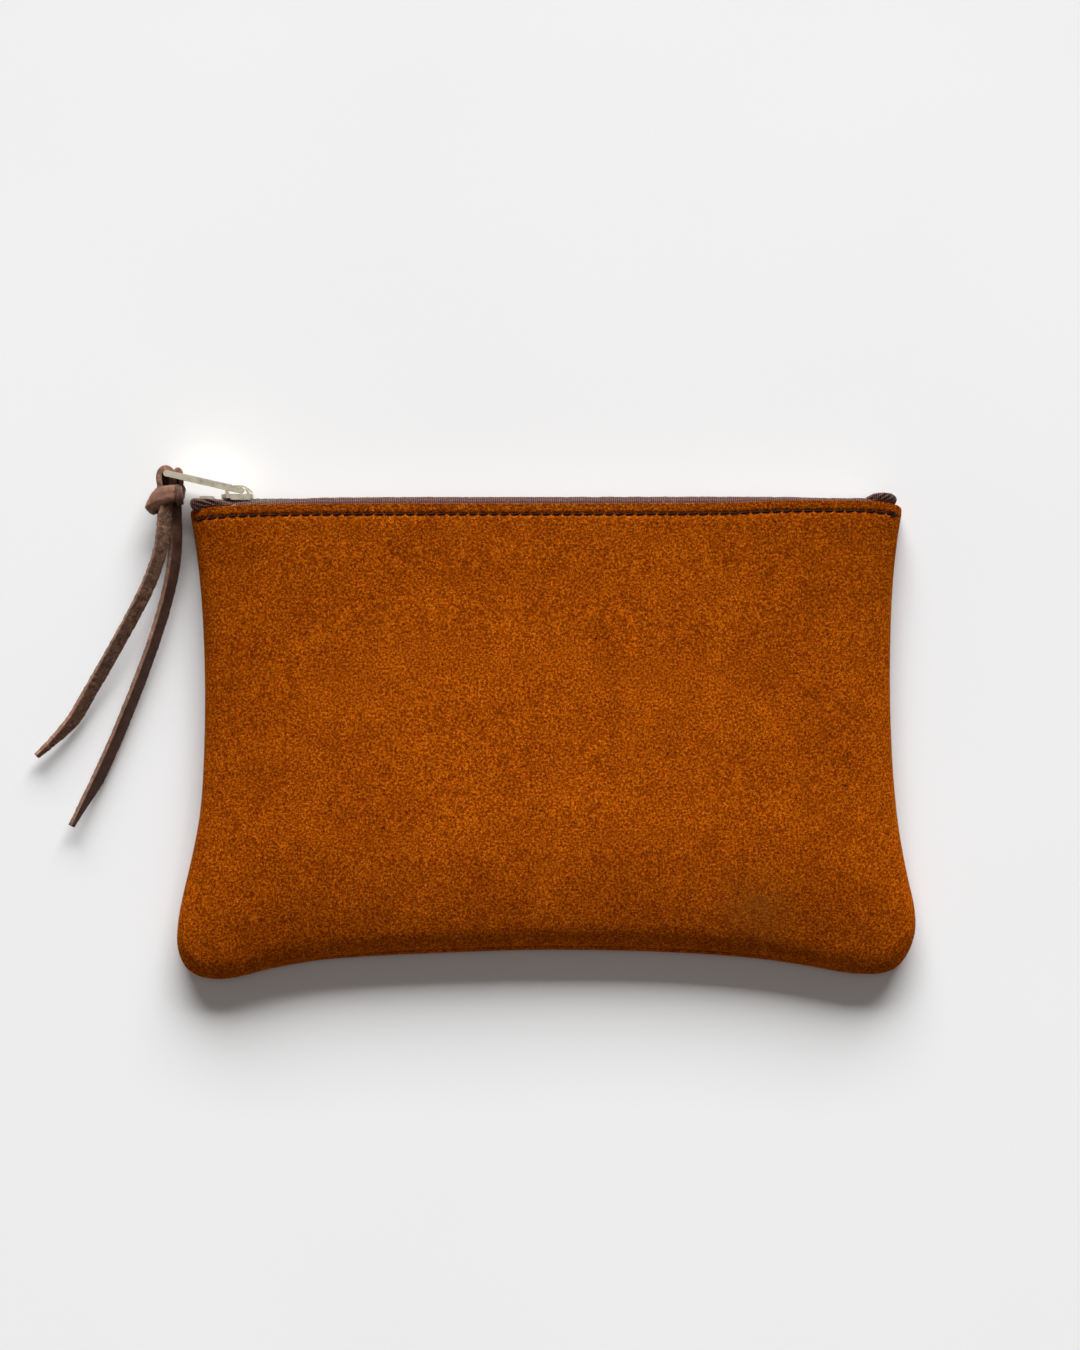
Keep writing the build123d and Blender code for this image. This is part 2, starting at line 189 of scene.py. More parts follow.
class Nodes:
    """A short way to build a material's node tree."""

    def __init__(self, name, color, roughness):
        self.material = bpy.data.materials.new(name)
        self.material.use_nodes = True
        self.tree = self.material.node_tree
        self.shader = self.tree.nodes["Principled BSDF"]
        self.shader.inputs["Base Color"].default_value = (*color, 1)
        self.shader.inputs["Roughness"].default_value = roughness
        self.place = self.add("ShaderNodeTexCoord").outputs["Object"]

    def set(self, socket, value):
        """Give one of the shader's inputs a constant."""
        self.shader.inputs[socket].default_value = value

    def add(self, kind, inputs=None, **settings):
        """A new node; each input is either a value or another node's output."""
        node = self.tree.nodes.new(kind)
        for key, value in settings.items():
            setattr(node, key, value)
        for key, value in (inputs or {}).items():
            if isinstance(value, bpy.types.NodeSocket):
                self.tree.links.new(value, node.inputs[key])
            else:
                node.inputs[key].default_value = value
        return node

    def stretch(self, x, y, z, turn=0.0):
        """Object coordinates scaled along each axis, after a turn about Z."""
        return self.add(
            "ShaderNodeMapping",
            {"Vector": self.place, "Scale": (x, y, z), "Rotation": (0, 0, turn)},
        ).outputs["Vector"]

    def noise(self, scale, detail=3.0, roughness=0.55, where=None, distortion=0.0):
        """Noise over the object's own coordinates, or over stretched ones."""
        return self.add(
            "ShaderNodeTexNoise",
            {
                "Vector": where or self.place,
                "Scale": scale,
                "Detail": detail,
                "Roughness": roughness,
                "Distortion": distortion,
            },
        ).outputs["Fac"]

    def ramp(self, value, stops):
        """A colour ramp through the stops, each a position and a colour."""
        node = self.add("ShaderNodeValToRGB", {"Fac": value})
        ramp = node.color_ramp
        while len(ramp.elements) < len(stops):
            ramp.elements.new(0.5)
        for element, (position, color) in zip(ramp.elements, stops):
            element.position = position
            element.color = (*color, 1)
        return node.outputs["Color"]

    def scale(self, value, low, high, to_low, to_high):
        """The value moved from one range to another, and held inside it."""
        return self.add(
            "ShaderNodeMapRange",
            {"Value": value, "From Min": low, "From Max": high, "To Min": to_low, "To Max": to_high},
        ).outputs["Result"]

    def mix(self, share, a, b, how="MIX"):
        """Colour a turned into b by a share; each may be a value or another node's output."""
        node = self.add("ShaderNodeMix", data_type="RGBA", blend_type=how)
        for socket, value in ((0, share), (6, a), (7, b)):
            if isinstance(value, bpy.types.NodeSocket):
                self.tree.links.new(value, node.inputs[socket])
            else:
                node.inputs[socket].default_value = value if socket == 0 else (*value, 1)
        return node.outputs[2]

    def times(self, a, b):
        return self.add("ShaderNodeMath", {0: a, 1: b}, operation="MULTIPLY").outputs[0]

    def plus(self, a, b):
        return self.add("ShaderNodeMath", {0: a, 1: b}, operation="ADD").outputs[0]

    def near(self, x, y, inner, outer):
        """1 within inner millimetres of a point on the pouch's face, falling to 0 at outer."""
        spot = (x * MM, y * MM, 12.0 * MM)
        node = self.add("ShaderNodeVectorMath", {0: self.place, 1: spot}, operation="DISTANCE")
        return self.scale(node.outputs["Value"], inner * MM, outer * MM, 1.0, 0.0)

    def color(self, value):
        self.tree.links.new(value, self.shader.inputs["Base Color"])

    def rough(self, value):
        self.tree.links.new(value, self.shader.inputs["Roughness"])

    def bump(self, height, strength, depth):
        """Relief from a height, with its depth in millimetres."""
        node = self.add("ShaderNodeBump", {"Height": height, "Strength": strength, "Distance": depth * MM})
        self.tree.links.new(node.outputs["Normal"], self.shader.inputs["Normal"])


def grey(value):
    return (value, value, value)


def suede_material(name):
    """Napped suede: fine fuzz in two tones, soft mottling, small dark pores, a rubbed patch, and painted
    shade towards the sides and the mouth.
    """
    n = Nodes(name, (0.30, 0.055, 0.002), 0.95)
    n.set("Sheen Weight", 0.10)
    n.set("Sheen Roughness", 0.5)
    n.set("Sheen Tint", (1.0, 0.36, 0.03, 1))
    n.set("Specular IOR Level", 0.0)
    patches = n.noise(70, 3.0, distortion=0.6)
    brushed = n.noise(260, 3.0, where=n.stretch(1.0, 0.6, 1.0, 0.5))
    nap = n.noise(1500, 3.0, 0.8)
    fine = n.noise(3400, 2.0, 0.6)
    tint = n.ramp(
        patches,
        [(0.30, (0.240, 0.0395, 0.0013)), (0.50, (0.272, 0.0470, 0.0015)), (0.72, (0.306, 0.0545, 0.0018))],
    )
    layers = (
        n.ramp(brushed, [(0.30, grey(0.90)), (0.70, grey(1.10))]),
        n.ramp(nap, [(0.28, (0.25, 0.14, 0.10)), (0.49, grey(1.0)), (0.67, (2.50, 3.50, 4.0))]),
        n.ramp(fine, [(0.28, grey(0.60)), (0.72, grey(1.40))]),
        n.ramp(n.noise(420, 1.0, 0.4), [(0.750, grey(1.0)), (0.785, grey(0.5))]),
    )
    for layer in layers:
        tint = n.mix(1.0, tint, layer, "MULTIPLY")
    rubbed = n.times(n.near(61.0, -51.0, 2.0, 15.0), n.scale(brushed, 0.35, 0.65, 0.2, 1.0))
    tint = n.mix(n.times(rubbed, 0.5), tint, (0.20, 0.072, 0.010))
    # painted shade: the colour is darkened towards the sides and towards the mouth
    axes = n.add("ShaderNodeSeparateXYZ", {"Vector": n.place}).outputs
    across = n.add("ShaderNodeMath", {0: axes["X"]}, operation="ABSOLUTE").outputs[0]
    sides = n.scale(across, 35 * MM, 95 * MM, 1.0, SIDE_PAINTED_SHADE)
    mouth = n.scale(axes["Y"], 10 * MM, 60 * MM, 1.0, MOUTH_PAINTED_SHADE)
    painted_shade = n.times(sides, mouth)
    shade = n.add("ShaderNodeCombineColor", {"Red": painted_shade, "Green": painted_shade, "Blue": painted_shade})
    n.color(n.mix(1.0, tint, shade.outputs["Color"], "MULTIPLY"))
    n.rough(n.scale(patches, 0.3, 0.7, 0.98, 0.88))
    n.bump(n.plus(nap, n.times(fine, 0.5)), 0.8, 0.30)
    return n.material


def suede_edge_material():
    """The cut edge of the suede, a little paler and more fibrous than its face."""
    n = Nodes("suede_cut_edge", (0.26, 0.075, 0.012), 0.95)
    fibres = n.noise(1500, 3.0, where=n.stretch(1.0, 1.0, 2.5))
    n.color(n.ramp(fibres, [(0.35, (0.16, 0.036, 0.003)), (0.68, (0.36, 0.10, 0.014))]))
    n.bump(fibres, 0.7, 0.25)
    return n.material


def tape_material():
    """Dark brown zip tape: fine ribs across the tape and a little lint."""
    n = Nodes("woven_zip_tape", (0.10, 0.06, 0.05), 0.9)
    n.set("Specular IOR Level", 0.15)
    n.set("Sheen Weight", 0.15)
    n.set("Sheen Tint", (0.8, 0.58, 0.5, 1))
    ribs = n.add(
        "ShaderNodeTexWave",
        {"Vector": n.place, "Scale": 520.0, "Distortion": 1.6, "Detail": 2.0, "Detail Scale": 3.0},
        bands_direction="X",
    ).outputs["Fac"]
    cross = n.add(
        "ShaderNodeTexWave",
        {"Vector": n.stretch(0.2, 1.0, 1.0), "Scale": 640.0, "Distortion": 2.0, "Detail": 1.0},
        bands_direction="Z",
    ).outputs["Fac"]
    lint = n.noise(1500, 4.0, 0.75)
    weave = n.times(ribs, n.plus(n.times(cross, 0.6), 0.4))
    tint = n.ramp(
        weave,
        [(0.0, (0.035, 0.015, 0.012)), (0.4, (0.10, 0.048, 0.038)), (1.0, (0.21, 0.107, 0.085))],
    )
    tint = n.mix(n.scale(lint, 0.54, 0.70, 0.0, 0.6), tint, (0.31, 0.18, 0.145))
    n.color(tint)
    n.bump(n.plus(weave, n.times(lint, 0.6)), 0.9, 0.25)
    return n.material


def metal_material(name, color, roughness):
    """Satin nickel: faint drawn lines, soft tarnish and small dents."""
    n = Nodes(name, color, roughness)
    n.set("Metallic", 1.0)
    tarnish = n.noise(330, 4.0, 0.6)
    lines = n.noise(900, 2.0, where=n.stretch(0.15, 1.6, 1.6))
    darker = tuple(c * 0.62 for c in color)
    lighter = tuple(min(1.0, c * 1.12) for c in color)
    n.color(n.ramp(tarnish, [(0.30, darker), (0.52, color), (0.75, lighter)]))
    n.rough(n.scale(n.plus(tarnish, n.times(lines, 0.5)), 0.4, 1.1, roughness + 0.14, roughness - 0.06))
    n.bump(n.plus(lines, n.noise(1400, 2.0)), 0.16, 0.05)
    return n.material


def thread_material():
    """Waxed twisted thread, nearly black."""
    n = Nodes("waxed_thread", (0.010, 0.006, 0.005), 0.75)
    n.set("Specular IOR Level", 0.08)
    twist = n.add(
        "ShaderNodeTexWave",
        {"Vector": n.place, "Scale": 750.0, "Distortion": 0.4},
        bands_direction="DIAGONAL",
    ).outputs["Fac"]
    n.color(n.ramp(twist, [(0.0, (0.004, 0.0025, 0.002)), (1.0, (0.022, 0.013, 0.010))]))
    n.bump(twist, 0.8, 0.10)
    return n.material


def lace_grain_material(name, dark, middle, light):
    """The lace's smooth dyed face, with a fine pebble and faint creases."""
    n = Nodes(name, middle, 0.55)
    n.set("Specular IOR Level", 0.3)
    pebble = n.add("ShaderNodeTexVoronoi", {"Vector": n.place, "Scale": 2300.0}, feature="DISTANCE_TO_EDGE")
    wear = n.noise(300, 4.0, 0.65)
    n.color(n.ramp(wear, [(0.30, dark), (0.52, middle), (0.76, light)]))
    n.rough(n.scale(wear, 0.3, 0.7, 0.50, 0.68))
    n.bump(n.plus(pebble.outputs["Distance"], n.times(n.noise(700, 2.0), 0.4)), 0.25, 0.08)
    return n.material


def lace_flesh_material(name, dark, light):
    """The lace's rough side and cut edges: matted fibres, some of them pale."""
    n = Nodes(name, light, 0.92)
    fibres = n.noise(900, 4.0, 0.75, distortion=0.8)
    tufts = n.noise(330, 3.0, 0.6)
    middle = tuple((a + b) / 2.4 for a, b in zip(dark, light))
    pale = tuple(min(1.0, c * 1.7) for c in light)
    tint = n.ramp(fibres, [(0.30, dark), (0.50, middle), (0.64, light), (0.80, pale)])
    n.color(n.mix(1.0, tint, n.ramp(tufts, [(0.3, grey(0.72)), (0.7, grey(1.22))]), "MULTIPLY"))
    n.bump(n.plus(fibres, n.times(tufts, 0.7)), 0.9, 0.35)
    return n.material


SUEDE = suede_material("suede_front")
SUEDE_BACK = suede_material("suede_back")
SUEDE_EDGE = suede_edge_material()
TAPE = tape_material()
THREAD = thread_material()
SLIDER_METAL = metal_material("slider_nickel", (0.84, 0.76, 0.60), 0.40)
TEETH_METAL = metal_material("zip_nickel", (0.42, 0.38, 0.32), 0.38)
LACE_GRAIN = lace_grain_material(
    "lace_grain", (0.040, 0.016, 0.009), (0.068, 0.030, 0.018), (0.110, 0.054, 0.036)
)
LACE_KNOT = lace_grain_material(
    "lace_worn_grain", (0.108, 0.045, 0.025), (0.190, 0.086, 0.050), (0.300, 0.148, 0.092)
)
LACE_FLESH = lace_flesh_material("lace_flesh", (0.055, 0.023, 0.012), (0.250, 0.122, 0.070))
LACE_EDGE = lace_flesh_material("lace_cut_edge", (0.120, 0.056, 0.032), (0.340, 0.180, 0.115))

# ---------------------------------------------------------------- the pouch's shape

outline = smooth_line(OUTLINE, COLUMNS, closed=True)
dense_outline = smooth_line(OUTLINE, 6000, closed=True)


def side_of(keep, along):
    """The outline's points on one side, sorted along an axis, for interpolation."""
    part = dense_outline[keep]
    return part[np.argsort(part[:, along])]


top_side = side_of((dense_outline[:, 1] > 62.0), 0)
low_side = side_of((dense_outline[:, 1] < -56.3), 0)
left_side = side_of((dense_outline[:, 0] < -93.5) & (dense_outline[:, 1] < 63.0), 1)
right_side = side_of((dense_outline[:, 0] > 91.0) & (dense_outline[:, 1] < 63.0), 1)


def top_edge(x):
    """The mouth's y at each x."""
    return np.interp(x, top_side[:, 0], top_side[:, 1])


def bottom_edge(x):
    """The bottom's y at each x."""
    return np.interp(x, low_side[:, 0], low_side[:, 1])


def edge_distances(x, y):
    """Distances to the nearer side and to the bottom of the pouch."""
    left = x - np.interp(y, left_side[:, 1], left_side[:, 0])
    right = np.interp(y, right_side[:, 1], right_side[:, 0]) - x
    return np.maximum(np.minimum(left, right), 0), np.maximum(y - bottom_edge(x), 0)


def roll(distance, radius):
    """Quarter-round edge: 0 at the edge and 1 from radius inwards."""
    t = np.clip(distance / radius, 0, 1)
    return np.sqrt(1 - (1 - t) ** 2)


def ease(distance, length):
    """A rise from 0 to 1 that slows down towards its end."""
    t = np.clip(distance / length, 0, 1)
    return t * (2 - t)


def soft_noise(x, y, size, seed):
    """Smooth unevenness between about -1 and 1, with bumps of the given size."""
    return np.array([noise.noise(Vector((a / size, b / size, seed))) for a, b in zip(x, y)])


def stitch_groove(x, y):
    """How far the topstitch pulls the leather in, in millimetres."""
    off = y - (top_edge(x) - STITCH_INSET)
    hold = 0.5 + 0.5 * np.cos(2 * math.pi * x / STITCH_PITCH)
    groove = (GROOVE_DEPTH + GROOVE_DEPTH * hold) * np.exp(-((off / GROOVE_WIDTH) ** 2))
    return groove + PULL_DEPTH * np.exp(-((off / PULL_WIDTH) ** 2))


def front_height(x, y):
    """Outer surface of the front panel above the table."""
    side, low = edge_distances(x, y)
    edge = EDGE_RISE * roll(side, SIDE_ROLL) * roll(low, BOTTOM_ROLL)
    dome = DOME_RISE * ease(side, DOME_SIDE) * ease(low, DOME_BOTTOM)
    dip = MOUTH_DIP * np.clip((y - DIP_START) / DIP_LENGTH, 0, 1) ** 2
    return SEAM_Z + edge + dome * (1 - dip / DOME_RISE)


def back_height(x, y):
    """Outer surface of the back panel; it lies flat on the table away from its edges."""
    side, low = edge_distances(x, y)
    return BACK_RISE * (1 - roll(side, BACK_SIDE_ROLL) * roll(low, BACK_BOTTOM_ROLL))


# Rings of points from the outline inwards: fine near the edge, where the stitching is
EDGE_RINGS = [
    0, 0.15, 0.35, 0.6, 0.9, 1.25, 1.6, 1.95, 2.25, 2.5, 2.7, 2.9, 3.1, 3.3, 3.55, 3.85, 4.3, 4.9, 5.6, 6.4,
]
INNER_RINGS = 34


def way_inwards(edge):
    """The direction from each point of an outline towards the pouch's middle line."""
    inward = edge * np.array([0.55, 0.0]) - edge
    return inward / np.linalg.norm(inward, axis=1)[:, None]


def ring_points(edge):
    """The rings inside an outline, as arrays of x and y."""
    inward = way_inwards(edge)
    rings = [edge + inward * inset for inset in EDGE_RINGS]
    last = rings[-1]
    for k in range(1, INNER_RINGS):
        rings.append(last * (1 - k / INNER_RINGS))
    return rings


def panel_faces(rings, columns):
    """Quads between the rings and a fan to the middle point, which comes last."""
    faces = grid_faces(rings, columns, wrap=True)
    middle, last = rings * columns, (rings - 1) * columns
    return faces + [(last + c, last + (c + 1) % columns, middle) for c in range(columns)]


def thicken(piece, thickness, offset):
    """Give a surface its real thickness; offset -1 grows it inwards, 0 both ways."""
    wall = piece.modifiers.new("thickness", "SOLIDIFY")
    wall.thickness = thickness * MM
    wall.offset = offset
    return wall


def build_front_panel():
    """The front suede panel: domed, rolled in at three sides and cut raw at the mouth."""
    x, y = outline[:, 0], outline[:, 1]
    # between its bottom corners the edge stops short of the back panel's
    lift = SEAM_STEP * np.clip(1 - (np.abs(x - 3) / 92) ** 4, 0, 1) * (y < -60)
    low = np.nonzero(y < -56)[0]
    low = low[np.argsort(x[low])]
    points = []
    rings = ring_points(np.stack([x, y + lift], axis=1))
    for ring in rings:
        rx, ry = ring[:, 0], ring[:, 1]
        shifted = ry - np.interp(rx, x[low], lift[low]) * np.clip((-50 - ry) / 10, 0, 1)
        z = front_height(rx, shifted) - stitch_groove(rx, ry)
        # the hide's own unevenness
        z = z + 0.10 * soft_noise(rx, ry, 26.0, 3.1) + 0.14 * soft_noise(rx, ry, 60.0, 8.4)
        points.append(np.stack([rx, ry, z], axis=1))
    centre = np.array([[0, 0, float(front_height(np.array([0.0]), np.array([0.0]))[0])]])
    points = np.vstack(points + [centre])
    faces = [f[::-1] for f in panel_faces(len(rings), COLUMNS)]
    piece = make_piece("front_suede", points, faces, [SUEDE, SUEDE, SUEDE_EDGE], "pouch")
    wall = thicken(piece, LEATHER, -1)
    wall.material_offset_rim = 2
    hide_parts("front_panel")
    return piece


def build_back_panel():
    """The back suede panel, which bulges out below the seam at the bottom."""
    y = outline[:, 1]
    # the tuck changes softly along the outline
    tuck = SIDE_TUCK * (y > -55) + MOUTH_TUCK * (y > 62)
    spread = 12
    tuck = np.concatenate([tuck[-spread:], tuck, tuck[:spread]])
    tuck = np.convolve(tuck, np.ones(2 * spread + 1) / (2 * spread + 1), "valid")
    edge = outline + way_inwards(outline) * tuck[:, None]
    inward = way_inwards(edge)
    mouth = y > 60
    points = []
    # up and in to the seam, except at the mouth
    for inset, z in ((1.6, 5.35), (0.9, 5.1), (0.35, 4.5), (0.06, 3.7)):
        ring = edge + inward * np.where(mouth, 0.0, inset)[:, None]
        points.append(np.column_stack([ring, np.where(mouth, BACK_LIFT + 0.05 * z, z)]))
    for ring in ring_points(edge):
        rx, ry = ring[:, 0], ring[:, 1]
        z = BACK_LIFT * np.clip((ry - 58) / 6, 0, 1) + back_height(rx, ry)
        points.append(np.column_stack([rx, ry, np.maximum(z, 0.0)]))
    faces = panel_faces(len(points), COLUMNS)
    points = np.vstack(points + [np.array([[0, 0, 0.0]])])
    piece = make_piece("back_suede", points, faces, [SUEDE_BACK, SUEDE_BACK, SUEDE_EDGE], "pouch")
    wall = thicken(piece, LEATHER, -1)
    wall.material_offset_rim = 2
    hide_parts("back_panel")
    return piece


front_suede = build_front_panel()
back_suede = build_back_panel()

# ---------------------------------------------------------------- zip tapes

# How far up the tape's fold reaches along the mouth, as (x, y)
FOLD_LINE = [
    (-101.0, 66.3), (-97.0, 67.2), (-92.0, 66.7), (-83.0, 66.3), (-74.0, 66.8), (-64.0, 67.3),
    (-40.0, 67.5), (0.0, 67.5), (48.0, 67.6), (70.0, 67.5), (80.0, 67.2), (90.0, 67.2),
    (101.0, 67.2),
]


def build_tape(name, node, side):
    """One zip tape: under the panel, over the fold and down to the teeth; side is +1 for the front."""
    fold = np.array(FOLD_LINE)
    xs = np.linspace(-TAPE_HALF, TAPE_HALF, TAPE_COLUMNS)
    tops = np.interp(xs, fold[:, 0], fold[:, 1])
    cut = top_edge(xs)
    if side > 0:
        under = front_height(xs, cut) - LEATHER - FRONT_TAPE_DROP
    else:
        under = np.full(TAPE_COLUMNS, LEATHER + BACK_TAPE_RISE)
    rows = []
    for down, out in ((9.0, 0.0), (5.0, 0.0), (2.5, 0.0), (0.8, 0.03)):
        rows.append(np.column_stack([xs, cut - down, under - side * out]))
    wave = 0.10 * soft_noise(xs, xs * 0, 4.0, 5.0 + side) + 0.08 * soft_noise(xs, xs * 0, 1.3, 2.0 + side)
    chain = CHAIN_Z + side * CHAIN_HALF
    for turn in np.linspace(0, 1, 16):
        base = cut * (1 - turn) + CHAIN_Y * turn
        arch = max(0.0, math.sin(math.pi * min(turn * 1.15, 1.0))) ** 0.6
        rows.append(
            np.column_stack([xs, base + (tops + wave - base) * arch, under + (chain - under) * turn ** 0.9])
        )
    points = np.vstack(rows)
    piece = make_piece(name, points, grid_faces(len(rows), TAPE_COLUMNS), [TAPE], "pouch")
    thicken(piece, TAPE_THICK, 0.0)
    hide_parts(node)
    return piece


front_tape = build_tape("front_tape_weave", "front_zipper_tape", 1)
back_tape = build_tape("back_tape_weave", "back_zipper_tape", -1)

# Outlines of the folded tape ends seen from above, anticlockwise
RIGHT_END = [
    (89.5, 65.0), (89.9, 66.6), (92.0, 67.6), (94.2, 68.7), (97.6, 69.0), (99.8, 68.4),
    (100.8, 67.2), (100.4, 65.8), (99.0, 64.4), (93.5, 63.6),
]
LEFT_END = [
    (-86.6, 64.4), (-92.5, 63.3), (-97.0, 62.9), (-100.6, 63.6), (-102.0, 64.9), (-102.2, 66.3),
    (-101.3, 67.3), (-98.8, 67.3), (-95.5, 67.2), (-92.5, 66.6), (-86.8, 65.8),
]


def build_tape_end(name, outline_points, middle_z, half_depth, slant, lean):
    """The end of a tape, folded over and back into a flat ribbed bundle that leans out of the mouth."""
    count = 72
    rim = smooth_line(outline_points, count, closed=True)
    centre = rim.mean(axis=0)
    away = (rim - centre) / np.linalg.norm(rim - centre, axis=1)[:, None]
    points = []
    levels = np.linspace(0, math.pi, 17)
    for level in levels:
        shrink = max(math.sin(level) ** 0.45, 0.02)
        height = -math.cos(level)
        ring = centre + (rim - centre) * shrink
        bulge = half_depth * abs(height) ** 0.8 * (1 if height > 0 else -1)
        z = middle_z + lean * (ring[:, 1] - 66.0) + bulge
        ribs = 0.24 * np.sin((ring[:, 0] * slant + ring[:, 1]) * 2 * math.pi / END_RIB_PITCH)
        crumple = 0.25 * soft_noise(ring[:, 0], ring[:, 1], 3.0, middle_z + height)
        wobble = 0.10 * soft_noise(ring[:, 0], ring[:, 1], 0.9, middle_z)
        ring = ring + away * (wobble * shrink)[:, None]
        points.append(np.column_stack([ring, z + (ribs + crumple) * abs(height)]))
    points = np.vstack(points)
    faces = grid_faces(len(levels), count, wrap=True)
    faces.append(tuple(range(count))[::-1])
    faces.append(tuple(range((len(levels) - 1) * count, len(levels) * count)))
    piece = make_piece(name, points, faces, [TAPE], "pouch")
    return piece


tape_ends = [
    build_tape_end("front_tape_end_right", RIGHT_END, 8.1, 1.0, -0.55, 0.35),
    build_tape_end("front_tape_end_left", LEFT_END, 9.25, 1.0, 0.25, 0.2),
    build_tape_end("back_tape_end_right", RIGHT_END, 3.6, 1.0, 0.55, -0.15),
    build_tape_end("back_tape_end_left", LEFT_END, 3.7, 1.0, -0.25, -0.15),
]

# ---------------------------------------------------------------- stitching


def capsule(start, end, radius, side, sides=8, steps=6):
    """Points and faces of one stitch: a short thread, pulled into the leather at both ends."""
    start, end = np.array(start, float), np.array(end, float)
    along = (end - start) / np.linalg.norm(end - start)
    across = np.cross(along, (0, 0, 1.0))
    across /= np.linalg.norm(across)
    up = np.cross(across, along)
    points = []
    for k in range(steps + 1):
        t = k / steps
        middle = start + (end - start) * t
        dive = abs(2 * t - 1) ** 5
        middle = middle - side * up * radius * 1.1 * dive
        size = radius * (1 - 0.4 * dive)
        for s in range(sides):
            angle = 2 * math.pi * s / sides
            points.append(middle + size * (math.cos(angle) * across + math.sin(angle) * up))
    faces = grid_faces(steps + 1, sides, wrap=True)
    faces.append(tuple(range(sides)))
    faces.append(tuple(range(steps * sides, (steps + 1) * sides))[::-1])
    return points, faces


def join_shapes(shapes):
    """One list of points and one of faces from several."""
    points, faces = [], []
    for p, f in shapes:
        faces += [tuple(i + len(points) for i in face) for face in f]
        points += list(p)
    return points, faces


def surface_z(x, y, side):
    """Height of the leather where a stitch goes in; side is +1 for the front and -1 for the back."""
    x, y = np.array([x]), np.array([y])
    if side > 0:
        return float(front_height(x, y)[0] - stitch_groove(x, y)[0])
    return BACK_STITCH_Z


def build_topstitch(name, side, seed, nodes):
    """The row of slanted stitches below the cut edge, with uneven lengths and angles."""
    draw = np.random.default_rng(seed)
    shapes = []
    for i in range(STITCH_COUNT):
        x = (i - (STITCH_COUNT - 1) / 2) * STITCH_PITCH + STITCH_SHIFT
        half = STITCH_HALF + draw.uniform(-0.07, 0.05)
        slant = STITCH_SLANT + draw.uniform(-0.07, 0.07)
        ends = []
        for hand in (-1, 1):
            ex = x + hand * half
            ey = float(top_edge(np.array([ex]))[0]) - STITCH_INSET + hand * slant
            ends.append((ex, ey, surface_z(ex, ey, side) + side * STITCH_RISE))
        shapes.append(capsule(ends[0], ends[1], THREAD_RADIUS, side))
    # backstitches at the ends of the row
    for x, tilt in ((-100.3, 0.5), (-99.2, -0.4), (99.0, 0.35), (100.2, -0.5), (100.6, 0.9)):
        y = float(top_edge(np.array([x]))[0]) - STITCH_INSET
        ends = [(x - 1.1, y + tilt), (x + 1.0, y - tilt * 0.6)]
        ends = [(ex, ey, surface_z(ex, ey, side) + side * BACKSTITCH_RISE) for ex, ey in ends]
        shapes.append(capsule(ends[0], ends[1], THREAD_RADIUS, side))
    points, faces = join_shapes(shapes)
    piece = make_piece(name, points, faces, [THREAD], "pouch")
    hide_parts(*nodes)


build_topstitch("front_topstitch_thread", 1, 11, ["front_topstitch", "front_backstitches"])
build_topstitch("back_topstitch_thread", -1, 12, ["back_topstitch"])

# ---------------------------------------------------------------- CAD nodes that stay


def finish_node(name, material, bevel):
    """A CAD node keeps its shape and gets a better material and slightly worn edges."""
    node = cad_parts[name]
    node.data.materials.clear()
    node.data.materials.append(material)
    edge = node.modifiers.new("worn edges", "BEVEL")
    edge.width = bevel * MM
    edge.segments = 3
    edge.limit_method = "ANGLE"
    edge.angle_limit = math.radians(40)
    edge.harden_normals = False


for name in ("front_teeth", "back_teeth"):
    finish_node(name, TEETH_METAL, 0.12)
for name in ("front_top_stop", "back_top_stop", "bottom_stop"):
    finish_node(name, SLIDER_METAL, 0.14)
for name in ("slider_body", "slider_crown", "lock_claw", "pull_tab"):
    finish_node(name, SLIDER_METAL, 0.14)
for name in ("left_seam_stitches", "right_seam_stitches", "bottom_seam_stitches"):
    finish_node(name, THREAD, 0.08)

# ---------------------------------------------------------------- the lace


def route_line(name, route):
    """Points read from the smooth line that a route's control points make."""
    curve = bpy.data.curves.new(name, "CURVE")
    curve.dimensions = "3D"
    curve.resolution_u = 24
    spline = curve.splines.new("NURBS")
    spline.points.add(len(route) - 1)
    for point, place in zip(spline.points, route):
        point.co = (*[c * MM for c in place], 1)
    spline.order_u = 3
    spline.use_endpoint_u = True
    holder = bpy.data.objects.new(name, curve)
    mesh = bpy.data.meshes.new_from_object(holder)
    line = np.array([v.co for v in mesh.vertices]) / MM
    bpy.data.objects.remove(holder)
    bpy.data.curves.remove(curve)
    bpy.data.meshes.remove(mesh)
    return line


def even_line(line, spacing):
    """The same line with evenly spaced points."""
    length = np.concatenate([[0], np.cumsum(np.linalg.norm(np.diff(line, axis=0), axis=1))])
    at = np.linspace(0, length[-1], int(length[-1] / spacing))
    return np.stack([np.interp(at, length, line[:, k]) for k in range(3)], axis=1), length[-1]


def strap_section(left, right, thick):
    """A flat strap's section with slightly rounded corners, as (across, up, face)."""
    r = STRAP_CORNER
    half = thick / 2
    section = []
    for t in np.linspace(0, 1, 9):
        section.append((left + r + (right - left - 2 * r) * t, half, TOP_FACE))
    section.append((right - r * 0.3, half - r * 0.3, TOP_FACE))
    for t in np.linspace(0, 1, 5):
        section.append((right, half - r - (thick - 2 * r) * t, CUT_SIDE))
    section.append((right - r * 0.3, -half + r * 0.3, CUT_SIDE))
    for t in np.linspace(0, 1, 9):
        section.append((right - r - (right - left - 2 * r) * t, -half, UNDER_FACE))
    section.append((left + r * 0.3, -half + r * 0.3, UNDER_FACE))
    for t in np.linspace(0, 1, 5):
        section.append((left, -half + r + (thick - 2 * r) * t, CUT_SIDE))
    section.append((left + r * 0.3, half - r * 0.3, CUT_SIDE))
    return section


